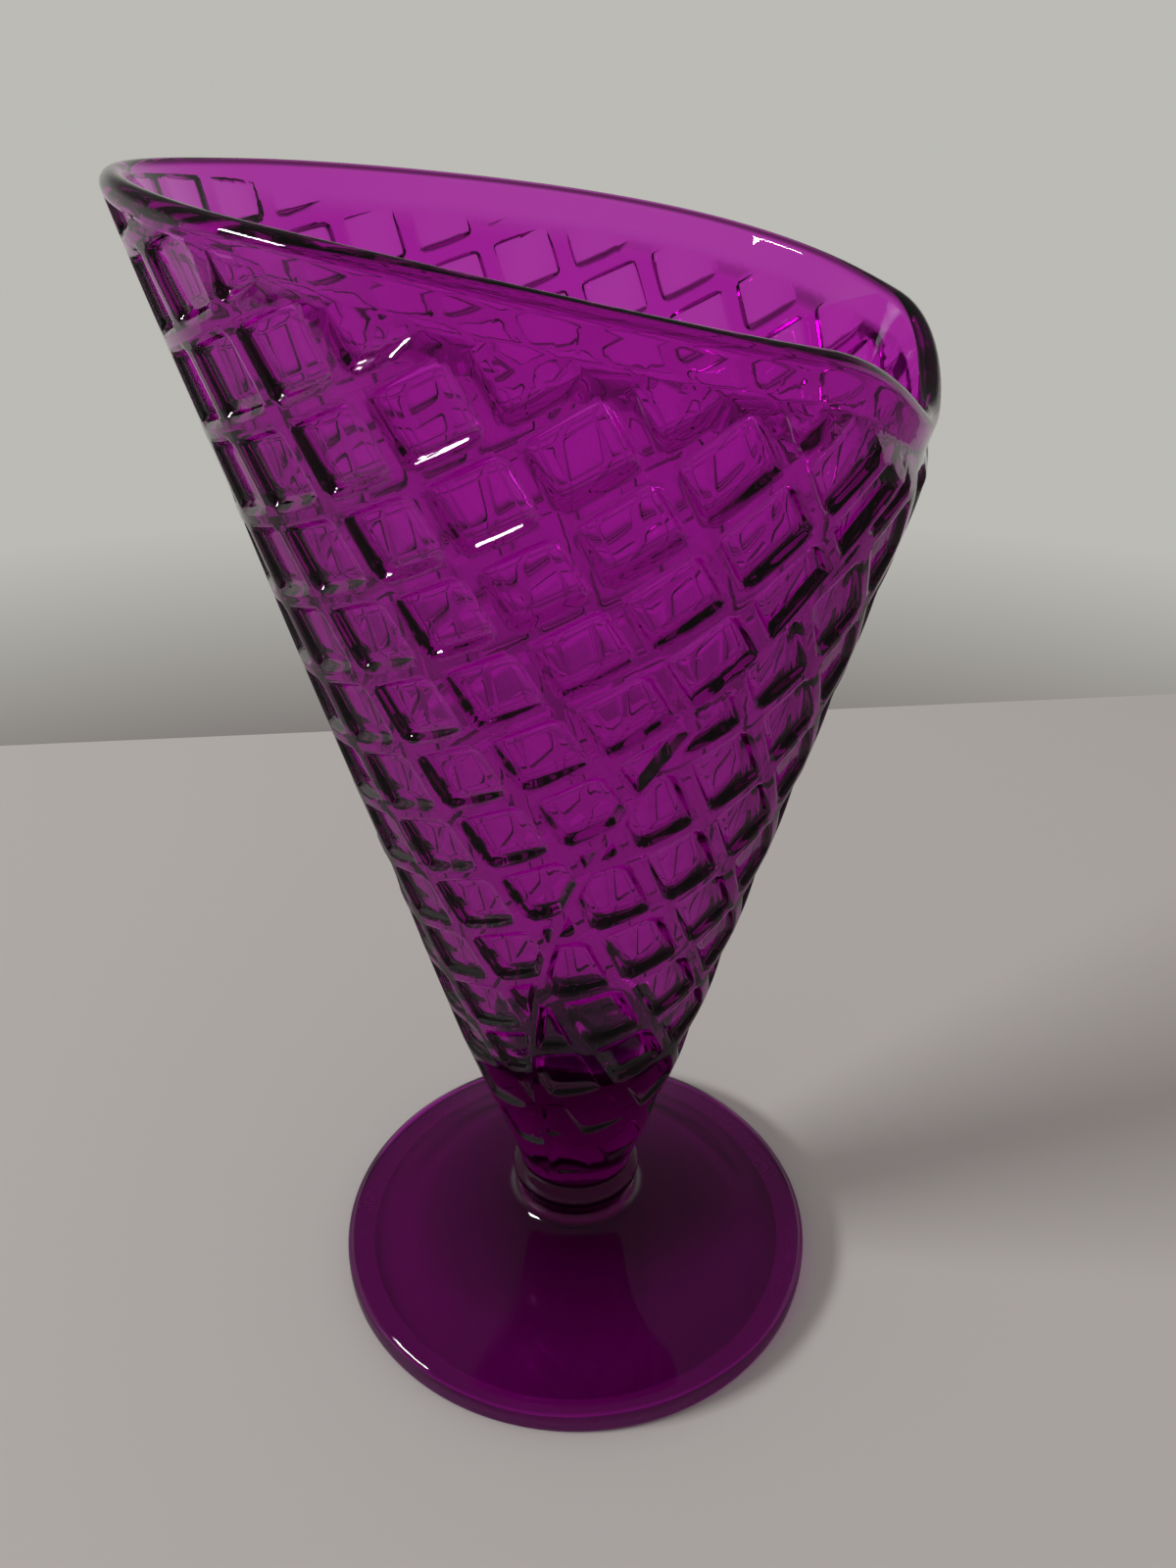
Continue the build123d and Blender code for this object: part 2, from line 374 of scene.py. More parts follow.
@dataclass(frozen=True)
class Waviness:
    """Slow unevenness of pressed glass: its depth, and how long its waves are."""

    depth: float
    length: float

    def at(self, point: Vector, layer: float) -> float:
        """Offset at a point; each layer of glass has waves of its own."""
        return self.depth * noise.noise(point / self.length + Vector((layer, layer, 0)))


@dataclass(frozen=True)
class GlassSizes:
    """Sizes of the glass that its frame gives, and those of its hidden or rounded shapes.

    Attributes:
        foot_radius: the foot's outer radius.
        foot_height: height of the foot's top, under the button.
        button_radius: the button's largest radius.
        bowl_base: height at which the bowl starts, on the button.
        cone_base_radius: radius of the pocket floors' cone at the bowl's base.
        button_overhang: how far the button stands out from the neck.
        button_fade: height over and under its middle at which the button has died out.
        relief: height of the ridge tops over the pocket floors.
        relief_full: height over the bowl's base at which the ridges reach it.
        neck_relief: how much deeper the pockets are pressed at the neck.
        ridge_fade: length over which the ridges sink to the rim's plain band.
        pattern_start: height over the bowl's base at which the pockets start.
        pattern_full: height over the bowl's base at which they reach their depth.
        cavity_bottom: height of the cavity's floor over the bowl's base.
        cavity_round: radius of the cavity's rounded bottom.
        flare: radius of the arc from the button out to the foot's slope.
        edge_thickness: height of the foot's edge, before it is rounded.
        edge_round: radius of the edge's upper round.
        lower_round: radius of the edge's lower round.
        ring_width: width of the resting ring, measured from the edge.
        recess_depth: depth of the recess inside the ring.
        recess_run: length of the recess's slope, from the ring inwards.
        rim_drop: height from the rim's high side to its low side.
        crown: how far the arch's high side lies over the top of the bead.
    """

    foot_radius: float
    foot_height: float
    button_radius: float
    bowl_base: float
    cone_base_radius: float = 9.255 * MM
    button_overhang: float = 1.3 * MM
    button_fade: float = 3.1 * MM
    relief: float = WaffleRuling.relief
    relief_full: float = 30 * MM
    neck_relief: float = 0.55 * MM
    ridge_fade: float = 4.5 * MM
    pattern_start: float = 2.5 * MM
    pattern_full: float = 7.0 * MM
    cavity_bottom: float = 26 * MM
    cavity_round: float = 9.5 * MM
    flare: float = 4.0 * MM
    edge_thickness: float = 4.6 * MM
    edge_round: float = 2.1 * MM
    lower_round: float = 1.2 * MM
    ring_width: float = 5.0 * MM
    recess_depth: float = 2.2 * MM
    recess_run: float = 9.0 * MM
    rim_drop: float = 18.0 * MM
    crown: float = 0.1 * MM

    @property
    def neck_radius(self) -> float:
        """Radius of the neck that the button stands out from."""
        return self.button_radius - self.button_overhang


class WaferSheet:
    """The relief: a ruled grid laid out flat, rolled onto the cone, trimmed and joined along its seam.

    Attributes:
        GRID_REACH: side of the flat grid, as a multiple of the longest way up the cone.
        FADE_LINES: shares of the stretch under the rim band where mesh lines follow the sinking ridges.
    """

    GRID_REACH = 2.2
    FADE_LINES = (0.15, 0.35, 0.6, 0.85)

    def __init__(self, sizes: GlassSizes, cone: RolledCone, rim: Rim, waves: Waviness) -> None:
        """Keeps the sizes, the cone and the rim that the sheet is trimmed to.

        Args:
            sizes: sizes of the glass.
            cone: the cone of the ridge tops.
            rim: the mouth.
            waves: unevenness of the outside.
        """
        self.sizes = sizes
        self.cone = cone
        self.rim = rim
        self.waves = waves
        self.ruling = WaffleRuling()
        self.seam = Seam()
        self.pockets: dict[tuple[int, int], Pocket] = {}
        self.bottom = cone.slant_at(sizes.bowl_base + sizes.pattern_start)

    def build(self, bm: bmesh.types.BMesh) -> None:
        """Adds the joined sheet to a mesh, open at its rim edge and at its neck edge."""
        self.lay_grid(bm)
        self.trim_seam(bm, -1)
        self.trim_seam(bm, 1)
        self.trim_rim(bm)
        self.trim_bottom(bm)
        left, right = self.seam_chain(bm, -1), self.seam_chain(bm, 1)
        match_stops(left, right, lambda vert: vert.co.y, 0.0)
        left, right = self.seam_chain(bm, -1), self.seam_chain(bm, 1)
        for vert in bm.verts:
            vert.co = self.formed(vert.co.x, vert.co.y)
        bmesh.ops.bridge_loops(bm, edges=left + right)

    def lay_grid(self, bm: bmesh.types.BMesh) -> None:
        """Lays out the ruled grid, gathered at the pockets' walls, as azimuth and slant distance."""
        ruling = self.ruling
        far = self.cone.slant_at(self.rim.high) + ruling.pitch_up
        margin = ruling.pitch_up / self.seam.spread(self.bottom, self.cone.half_angle)
        count_x = math.ceil(self.GRID_REACH * far / ruling.pitch_down) * ruling.LINES
        count_y = math.ceil(self.GRID_REACH * far / ruling.pitch_up) * ruling.LINES
        scaled = Matrix.Diagonal((count_x, count_y, 1, 1))
        grid = bmesh.ops.create_grid(bm, x_segments=count_x, y_segments=count_y, size=0.5, matrix=scaled)
        spare = []
        for vert in grid["verts"]:
            cell_down, line_down = divmod(round(vert.co.x), ruling.LINES)
            cell_up, line_up = divmod(round(vert.co.y), ruling.LINES)
            pocket = self.pocket(cell_down, cell_up)
            azimuth, slant = self.line_place(pocket, line_down, line_up, ruling.relief)
            past = azimuth - self.seam.azimuth_at(slant)
            if self.bottom - ruling.pitch_up < slant < far and -FULL_TURN - margin < past < margin:
                top = self.cone.at(azimuth, slant, self.ridge_depth(azimuth, slant))
                height = (top - pocket.middle).dot(pocket.outward)
                azimuth, slant = self.line_place(pocket, line_down, line_up, height)
            else:
                spare.append(vert)
            vert.co = (azimuth, slant, 0)
        bmesh.ops.delete(bm, geom=spare, context="VERTS")

    def line_place(self, pocket: Pocket, line_down: int, line_up: int, height: float) -> tuple[float, float]:
        """Azimuth and slant distance where two mesh lines of a cell cross.

        Args:
            pocket: the cell's pocket.
            line_down: number of the line along the first ruling, counted from the cell's first ridge.
            line_up: number of the line along the second ruling.
            height: how far the ridge top stands above the pocket's floor plane there.

        Returns:
            The azimuth and the slant distance.
        """
        ruling = self.ruling
        half = ruling.LINES // 2
        step_down, step_up = half - abs(half - line_down), half - abs(half - line_up)
        sunk = height - ruling.relief
        off_down = ruling.line(step_down, ruling.pitch_down, ruling.relief + sunk * min(step_up / 2, 1))
        off_up = ruling.line(step_up, ruling.pitch_up, ruling.relief + sunk * min(step_down / 2, 1))
        down = pocket.down + math.copysign(off_down, line_down - half)
        up = pocket.up + math.copysign(off_up, line_up - half)
        return self.cone.roll(*ruling.to_sheet(down, up))

    def pocket(self, cell_down: int, cell_up: int) -> Pocket:
        """The pocket pressed in one cell of the wafer, worked out once."""
        if (cell_down, cell_up) not in self.pockets:
            down = self.ruling.pitch_down * (cell_down + 0.5)
            up = self.ruling.pitch_up * (cell_up + 0.5)
            azimuth, slant = self.cone.roll(*self.ruling.to_sheet(down, up))
            ridge_top = self.cone.at(azimuth, slant)
            outward = (ridge_top - self.cone.at(azimuth, slant, 1.0)).normalized()
            lowered = self.ruling.relief + self.sizes.neck_relief * (1 - self.risen(ridge_top.z))
            self.pockets[cell_down, cell_up] = Pocket(ridge_top - outward * lowered, outward, down, up)
        return self.pockets[cell_down, cell_up]

    def risen(self, height: float) -> float:
        """Share of their full height that the ridges have reached at a height."""
        return min(max((height - self.sizes.bowl_base) / self.sizes.relief_full, 0.0), 1.0)

    def ridge_depth(self, azimuth: float, slant: float) -> float:
        """How far the ridge tops lie under the cone: sunk at the neck, and again towards the rim band."""
        at_neck = self.sizes.relief * (1 - self.risen(self.cone.at(azimuth, slant).z))
        to_band = (self.band_start(azimuth) - slant) / self.sizes.ridge_fade
        return max(at_neck, self.rim.depth_at(azimuth) * (1 - smooth_step(to_band)))

    def trim_seam(self, bm: bmesh.types.BMesh, side: int) -> None:
        """Cuts the sheet along one side of the seam's ridge, with lines for the ridge's wall.

        Args:
            bm: the sheet, as azimuth and slant distance.
            side: 1 for the edge where the azimuth is lowest, -1 for the edge where it is highest.
        """
        lap = -FULL_TURN if side > 0 else 0.0
        half_angle = self.cone.half_angle
        for vert in bm.verts:
            slant = vert.co.y
            vert.co.x = (vert.co.x - lap - self.seam.azimuth_at(slant)) * self.seam.spread(slant, half_angle)
        bisect(bm, (self.seam.edge * side, 0, 0), (-side, 0, 0), clear=True)
        for offset in self.seam.wall_lines:
            bisect(bm, (offset * side, 0, 0), (-side, 0, 0))
        for vert in bm.verts:
            slant = vert.co.y
            vert.co.x = vert.co.x / self.seam.spread(slant, half_angle) + lap + self.seam.azimuth_at(slant)

    def trim_rim(self, bm: bmesh.types.BMesh) -> None:
        """Cuts the sheet where the plain rim band starts, with lines where the ridges sink."""
        for vert in bm.verts:
            vert.co.y -= self.band_start(vert.co.x)
        bisect(bm, (0, 0, 0), (0, 1, 0), clear=True)
        for share in self.FADE_LINES:
            bisect(bm, (0, -share * self.sizes.ridge_fade, 0), (0, 1, 0))
        for vert in bm.verts:
            vert.co.y += self.band_start(vert.co.x)

    def trim_bottom(self, bm: bmesh.types.BMesh) -> None:
        """Cuts the sheet at the neck, where the relief has died out."""
        bisect(bm, (0, self.bottom, 0), (0, -1, 0), clear=True)

    def band_start(self, azimuth: float) -> float:
        """Slant distance at which the plain rim band starts."""
        return self.rim.slant_at(azimuth, self.rim.depth_at(azimuth)) - self.rim.band_at(azimuth)

    def seam_chain(self, bm: bmesh.types.BMesh, side: int) -> list[bmesh.types.BMEdge]:
        """Boundary edges along one side of the seam, while the sheet is azimuth and slant distance."""
        lap = -FULL_TURN if side > 0 else 0.0

        def on_edge(vert: bmesh.types.BMVert) -> bool:
            """Whether a vertex lies on that side of the seam."""
            off = (vert.co.x - lap - self.seam.azimuth_at(vert.co.y)) * self.seam.spread(
                vert.co.y, self.cone.half_angle
            )
            return abs(off - side * self.seam.edge) < self.seam.tolerance

        return [edge for edge in bm.edges if edge.is_boundary and all(on_edge(vert) for vert in edge.verts)]

    def formed(self, azimuth: float, slant: float) -> Vector:
        """Place of a point of the sheet on the pressed glass."""
        sizes, ruling = self.sizes, self.ruling
        down, up = ruling.from_sheet(*self.cone.unroll(azimuth, slant))
        pocket = self.pocket(math.floor(down / ruling.pitch_down), math.floor(up / ruling.pitch_up))
        depth = self.ridge_depth(azimuth, slant)
        top = self.cone.at(azimuth, slant, depth)
        over_floor = (top - pocket.middle).dot(pocket.outward)
        past = azimuth - self.seam.azimuth_at(slant)
        off_seam = min(abs(past), abs(past + FULL_TURN)) * self.seam.spread(slant, self.cone.half_angle)
        pressed = min(
            over_floor - ruling.walls(down - pocket.down, up - pocket.up),
            (off_seam - self.seam.ridge_half) / ruling.draft,
        )
        above = top.z - sizes.bowl_base - sizes.pattern_start
        depth += max(pressed, 0.0) * smooth_step(above / (sizes.pattern_full - sizes.pattern_start))
        return self.cone.at(azimuth, slant, depth + self.waves.at(top, 0))


def bisect(bm: bmesh.types.BMesh, point: tuple, normal: tuple, clear: bool = False) -> None:
    """Cuts a mesh by a plane.

    Args:
        bm: the mesh.
        point: a point on the plane.
        normal: the plane's normal.
        clear: whether what lies on the normal's side is removed.
    """
    geom = bm.verts[:] + bm.edges[:] + bm.faces[:]
    bmesh.ops.bisect_plane(bm, geom=geom, dist=ON_PLANE, plane_co=point, plane_no=normal, clear_outer=clear)


def split_at(edge: bmesh.types.BMEdge, stops: Iterable[float], key: Callable, turn: float) -> None:
    """Splits an edge at each stop that lies inside it.

    Args:
        edge: the edge.
        stops: where vertices are wanted.
        key: measures a vertex along the chain.
        turn: length of a closed loop by that measure, or 0 for an open chain.
    """
    start, end = edge.verts
    low, high = key(start), key(end)
    if turn and abs(high - low) > turn / 2:
        high += math.copysign(turn, low - high)
    laps = (-turn, 0.0, turn) if turn else (0.0,)
    spots = [stop + lap for stop in stops for lap in laps]
    inside = [spot for spot in spots if NEAR_END < (spot - low) / (high - low) < 1 - NEAR_END]
    for stop in sorted(inside, reverse=high < low):
        if abs(stop - low) < SAME_STOP * abs(high - low):
            continue
        _, middle = bmesh.utils.edge_split(edge, start, (stop - low) / (high - low))
        edge = next(link for link in middle.link_edges if end in link.verts)
        start, low = middle, stop


def match_stops(first: list, second: list, key: Callable, turn: float) -> None:
    """Gives two facing chains of boundary edges the same vertices along their length.

    Args:
        first: edges of one chain.
        second: edges of the other.
        key: measures a vertex along both chains.
        turn: length of a closed loop by that measure, or 0 for open chains.
    """
    first_stops = sorted({key(vert) for edge in first for vert in edge.verts})
    second_stops = sorted({key(vert) for edge in second for vert in edge.verts})
    for edge in first:
        split_at(edge, second_stops, key, turn)
    for edge in second:
        split_at(edge, first_stops, key, turn)


def sweep_rows(bm: bmesh.types.BMesh, ring: list, rows: Iterable[Row]) -> list:
    """Extrudes a ring of edges through rows that are given as a point for each azimuth.

    Args:
        bm: the mesh.
        ring: edges of the first row.
        rows: the rows that follow it.

    Returns:
        The edges of the last row.
    """
    for row in rows:
        grown = bmesh.ops.extrude_edge_only(bm, edges=ring)["geom"]
        ring = [item for item in grown if isinstance(item, bmesh.types.BMEdge) and item.is_boundary]
        for vert in {vert for edge in ring for vert in edge.verts}:
            vert.co = row(azimuth_of(vert.co))
    return ring


def turned_row(point: Point) -> Row:
    """Row of a turned shape at one radius and height."""
    radius, height = point
    return lambda azimuth: Vector((radius * math.sin(azimuth), -radius * math.cos(azimuth), height))


class TurnedRing:
    """A stack of rows round the axis, started from an even ring and closed at a pole.

    Attributes:
        SEGMENTS: number of vertices in a row.
    """

    SEGMENTS = 168

    def __init__(self, bm: bmesh.types.BMesh, rows: list[Row], pole: float) -> None:
        """Builds the rows.

        Args:
            bm: the mesh that they are added to.
            rows: the rows, the first one facing the wafer sheet.
            pole: height at which the last row closes on the axis.
        """
        made = bmesh.ops.create_circle(bm, cap_ends=False, segments=self.SEGMENTS, radius=1.0)["verts"]
        first = list({edge for vert in made for edge in vert.link_edges})
        for vert in made:
            vert.co = rows[0](azimuth_of(vert.co))
        last = sweep_rows(bm, first, rows[1:])
        verts = list({vert for edge in last for vert in edge.verts})
        bmesh.ops.pointmerge(bm, verts=verts, merge_co=(0, 0, pole))
        self.first = first


class SundaeGlass:
    """The whole glass: wafer sheet, rim and inside wall, neck button and foot, as one closed mesh.

    Attributes:
        BAND_ROWS: shares of the way from the bead's middle down the plain band where rows run.
        BEAD_SPANS: rows over the bead.
        INSIDE_SPANS: rows down the inside wall.
        NECK_ROWS: shares of the plain neck's height where rows run.
        BUTTON_SPANS: rows down the button.
        SLOPE_SPANS: rows down the foot's slope.
        RECESS_SPANS: rows down the slope of the recess.
        ROOF_ROWS: shares of the radius of the recess's flat roof where rows run.
        EVEN_WALL_FROM: share of the inside wall at which the wall has its even thickness.
        WAVES_FROM: share of the inside wall at which its waves are full.
        BUTTON_FULLNESS: power that rounds the button's swell; 1 is a plain cosine.
        FLARE_START: angle at which the foot's flare starts, clear of the button.
        FOOT_LAYER: number of the foot's waves.
        INNER_LAYER: number of the inside wall's waves.
        JOINT_REACH: half of the height that the edges round one joint may span.
        SMALLEST_EDGE: length of the edges that are dissolved.
    """

    BAND_ROWS = (0.62, 0.36, 0.14)
    BEAD_SPANS = 12
    INSIDE_SPANS = 30
    NECK_ROWS = (0.8, 0.5)
    BUTTON_SPANS = 16
    SLOPE_SPANS = 11
    RECESS_SPANS = 12
    ROOF_ROWS = (0.75, 0.5, 0.25)
    EVEN_WALL_FROM = 0.35
    WAVES_FROM = 1 / 12
    BUTTON_FULLNESS = 1.5
    FLARE_START = 0.2 - math.pi
    JOINT_REACH = 20 * MM
    FOOT_LAYER = 2
    INNER_LAYER = 5
    SMALLEST_EDGE = 0.001 * MM

    def __init__(self) -> None:
        """Reads the sizes from the frame."""
        foot_low, foot_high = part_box("foot")
        button_low, button_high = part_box("neck_button")
        bowl_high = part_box("waffle_bowl")[1]
        sizes = GlassSizes(
            foot_radius=(foot_high.x - foot_low.x) / 2,
            foot_height=foot_high.z,
            button_radius=(button_high.x - button_low.x) / 2,
            bowl_base=button_high.z,
        )
        slope = math.tan(RolledCone.half_angle)
        relief = sizes.relief / math.cos(RolledCone.half_angle)
        self.sizes = sizes
        self.cone = RolledCone(point=sizes.bowl_base - (sizes.cone_base_radius + relief) / slope)
        high = bowl_high.z + sizes.crown
        self.rim = Rim(high=high, low=high - sizes.rim_drop, cone=self.cone)
        self.outer_waves = Waviness(depth=0.03 * MM, length=9 * MM)
        self.inner_waves = Waviness(depth=0.07 * MM, length=12 * MM)
        self.foot_waves = Waviness(depth=0.3 * MM, length=15 * MM)

    def rim_rows(self) -> list[Row]:
        """Rows up the plain band, over the rim's bead and down the smooth inside wall."""
        sizes, rim = self.sizes, self.rim
        radius = (rim.inner_depth - rim.band_depth) / 2
        tangent = self.cone.slant_at(sizes.bowl_base + sizes.cavity_bottom + sizes.cavity_round)

        def row(inward: float, rise: float = 0.0, band: float = 0.0, down: float = 0.0) -> Row:
            """Row of the rim.

            Args:
                inward: depth under the band.
                rise: height over the bead's middle, along the cone.
                band: share of the way from the bead's middle down to the band's lower edge.
                down: share of the way from the bead's middle down the inside wall.

            Returns:
                The row.
            """

            def place(azimuth: float) -> Vector:
                """Point of the row at an azimuth."""
                sunk = rim.depth_at(azimuth)
                top = rim.slant_at(azimuth, sunk + radius) - radius
                slant = top + rise + (radius - rim.band_at(azimuth)) * band + (tangent - top) * down
                depth = sunk + inward + (rim.band_depth - sunk) * smooth_step(down / self.EVEN_WALL_FROM)
                share = smooth_step(down / self.WAVES_FROM)
                wave = self.inner_waves.at(self.cone.at(azimuth, slant, depth), self.INNER_LAYER) * share
                return self.cone.at(azimuth, slant, depth + wave)

            return place

        bead = arc((radius, 0.0), radius, math.pi, 0.0, self.BEAD_SPANS)
        rows = [row(0.0, band=share) for share in self.BAND_ROWS]
        rows += [row(inward, rise=rise) for inward, rise in bead]
        rows += [row(2 * radius, down=step / self.INSIDE_SPANS) for step in range(1, self.INSIDE_SPANS)]
        return rows

    def cavity_rows(self) -> list[Row]:
        """Rows round the bottom of the cavity."""
        sizes = self.sizes
        floor = sizes.bowl_base + sizes.cavity_bottom
        centre_height = floor + sizes.cavity_round
        half_angle = self.cone.half_angle
        wall = self.cone.radius_at(centre_height, self.rim.inner_depth)
        centre = (wall - sizes.cavity_round / math.cos(half_angle), centre_height)
        points = arc(centre, sizes.cavity_round, -half_angle, -math.pi / 2, 12)
        points += [(centre[0] * share, floor) for share in (0.7, 0.4, 0.15)]
        return [turned_row(point) for point in points]

    def neck_points(self) -> list[Point]:
        """Profile down the plain neck and round the button."""
        sizes = self.sizes
        heights = [sizes.bowl_base + sizes.pattern_start * share for share in self.NECK_ROWS]
        points = [(self.plain_radius(height), height) for height in heights]
        button_middle = (sizes.bowl_base + sizes.foot_height) / 2
        for step in range(self.BUTTON_SPANS + 1):
            share = 1 - 2 * step / self.BUTTON_SPANS
            height = button_middle + sizes.button_fade * share
            above = height > sizes.bowl_base
            plain = max(self.plain_radius(height), sizes.neck_radius) if above else sizes.neck_radius
            swell = max(math.cos(math.pi / 2 * share), 0.0) ** self.BUTTON_FULLNESS
            points.append((plain + (sizes.button_radius - plain) * swell, height))
        return points

    def foot_points(self) -> list[Point]:
        """Profile down the foot's flare and slope, round its edge and in under it."""
        sizes = self.sizes
        flare = (sizes.neck_radius + sizes.flare, sizes.foot_height)
        corner = (sizes.foot_radius, sizes.edge_thickness)
        lower = (sizes.foot_radius, 0.0)
        ring = (sizes.foot_radius - sizes.ring_width, 0.0)
        slope = math.atan2(corner[1] - flare[1], corner[0] - flare[0])
        touch = slope - math.acos(sizes.flare / math.dist(flare, corner))
        points = arc(flare, sizes.flare, self.FLARE_START, touch, 12)
        start = points[-1]
        run, rise = corner[0] - start[0], corner[1] - start[1]
        shares = [step / self.SLOPE_SPANS for step in range(1, self.SLOPE_SPANS)]
        points += [(start[0] + run * share, start[1] + rise * share) for share in shares]
        points += rounded(start, corner, lower, sizes.edge_round, 10)
        points += rounded(corner, lower, ring, sizes.lower_round, 6)
        shares = [step / self.RECESS_SPANS for step in range(self.RECESS_SPANS + 1)]
        points += [
            (ring[0] - sizes.recess_run * share, sizes.recess_depth * smooth_step(share)) for share in shares
        ]
        points += [(points[-1][0] * share, sizes.recess_depth) for share in self.ROOF_ROWS]
        return points

    def waved_row(self, point: Point) -> Row:
        """Turned row of the outside, with slow waves that die out at the table and at the button."""
        row = turned_row(point)
        share = smooth_step(point[1] / self.sizes.edge_thickness)
        share *= smooth_step((point[0] - self.sizes.button_radius) / self.sizes.flare)

        def place(azimuth: float) -> Vector:
            """Point of the row at an azimuth."""
            spot = row(azimuth)
            return spot + Vector((0, 0, self.foot_waves.at(spot, self.FOOT_LAYER) * share))

        return place

    def plain_radius(self, height: float) -> float:
        """Radius of the plain cone above the button, where no pocket is pressed."""
        sizes = self.sizes
        risen = min((height - sizes.bowl_base) / sizes.relief_full, 1.0)
        return self.cone.radius_at(height, sizes.relief * (1 - risen))

    def cast(self, bm: bmesh.types.BMesh) -> None:
        """Fills a mesh with the sheet and the turned rows, joined into one closed skin."""
        WaferSheet(self.sizes, self.cone, self.rim, self.outer_waves).build(bm)
        open_edges = [edge for edge in bm.edges if edge.is_boundary]
        middle = self.sizes.bowl_base + self.sizes.relief_full
        rim_edges = [edge for edge in open_edges if edge.verts[0].co.z > middle]
        neck_edges = [edge for edge in open_edges if edge.verts[0].co.z <= middle]
        cavity_floor = self.sizes.bowl_base + self.sizes.cavity_bottom
        upper = TurnedRing(bm, self.rim_rows() + self.cavity_rows(), cavity_floor)
        outside = [self.waved_row(point) for point in self.neck_points() + self.foot_points()]
        lower = TurnedRing(bm, outside, self.sizes.recess_depth)
        self.join(bm, rim_edges, upper.first)
        self.join(bm, neck_edges, lower.first)
        bmesh.ops.dissolve_degenerate(bm, dist=self.SMALLEST_EDGE, edges=bm.edges)
        bmesh.ops.triangulate(bm, faces=[face for face in bm.faces if len(face.verts) > 4])
        bmesh.ops.recalc_face_normals(bm, faces=bm.faces)
        log.info("open edges left: %d", sum(not edge.is_manifold for edge in bm.edges))

    def build(self) -> bpy.types.Object:
        """Builds the glass in one piece, as it was cast, and shades it smooth."""
        bm = bmesh.new()
        self.cast(bm)
        for face in bm.faces:
            face.smooth = True
        mesh = bpy.data.meshes.new("sundae_glass")
        bm.to_mesh(mesh)
        bm.free()
        glass = bpy.data.objects.new("sundae_glass", mesh)
        bpy.context.scene.collection.objects.link(glass)
        shading = glass.modifiers.new("even_shading", "WEIGHTED_NORMAL")
        shading.keep_sharp = False
        return glass

    def join(self, bm: bmesh.types.BMesh, first: list, second: list) -> None:
        """Bridges two facing boundary loops, once both have the same vertices round the axis.

        Args:
            bm: the mesh.
            first: edges of one loop.
            second: edges of the other.
        """
        heights = [edge.verts[0].co.z for edge in first + second]
        middle = sum(heights) / len(heights)
        match_stops(first, second, lambda vert: azimuth_of(vert.co), FULL_TURN)
        open_edges = [edge for edge in bm.edges if edge.is_boundary]
        loops = [edge for edge in open_edges if abs(edge.verts[0].co.z - middle) < self.JOINT_REACH]
        bmesh.ops.bridge_loops(bm, edges=loops)


@dataclass(frozen=True)
class VioletGlass:
    """Clear violet pressed glass, coloured through its depth, with a fire-polished skin.

    Attributes:
        index: index of refraction.
        roughness: roughness of the skin.
        absorbed: share of red, green and blue that is absorbed, per metre.
    """

    index: float = 1.46
    roughness: float = 0.01
    absorbed: tuple[float, float, float] = (94.0, 860.0, 108.0)

    def material(self) -> bpy.types.Material:
        """Builds the material."""
        made = bpy.data.materials.new("violet_glass")
        made.use_nodes = True
        nodes, links = made.node_tree.nodes, made.node_tree.links
        skin = nodes["Principled BSDF"]
        skin.inputs["Base Color"].default_value = (1.0, 1.0, 1.0, 1.0)
        skin.inputs["Roughness"].default_value = self.roughness
        skin.inputs["IOR"].default_value = self.index
        skin.inputs["Transmission Weight"].default_value = 1.0
        depth = nodes.new("ShaderNodeVolumeAbsorption")
        density = max(self.absorbed)
        depth.inputs["Color"].default_value = (*(1 - share / density for share in self.absorbed), 1.0)
        depth.inputs["Density"].default_value = density
        links.new(depth.outputs["Volume"], nodes["Material Output"].inputs["Volume"])
        return made


@dataclass(frozen=True)
class SoftLamp:
    """A rectangular area lamp.

    Attributes:
        place: place of the lamp.
        target: point that it faces.
        size: its width and height.
        power: its power in watts.
        colour: colour of its light.
    """

    place: tuple[float, float, float]
    target: tuple[float, float, float]
    size: tuple[float, float]
    power: float
    colour: tuple[float, float, float]


class Lamp(Enum):
    """The studio's lamps by name."""

    WINDOW = SoftLamp(
        place=(-2.48, -0.665, 1.44),
        target=(0.0, 0.0, 0.10),
        size=(0.95, 0.40),
        power=56.0,
        colour=(0.97, 0.98, 1.0),
    )

    def light(self) -> None:
        """Places the lamp."""
        lamp = self.value
        data = bpy.data.lights.new(self.name.lower(), "AREA")
        data.shape = "RECTANGLE"
        data.size, data.size_y = lamp.size
        data.energy = lamp.power
        data.color = lamp.colour
        light = bpy.data.objects.new(self.name.lower(), data)
        light.location = lamp.place
        facing = Vector(lamp.target) - Vector(lamp.place)
        light.rotation_euler = facing.to_track_quat("-Z", "Y").to_euler()
        bpy.context.scene.collection.objects.link(light)


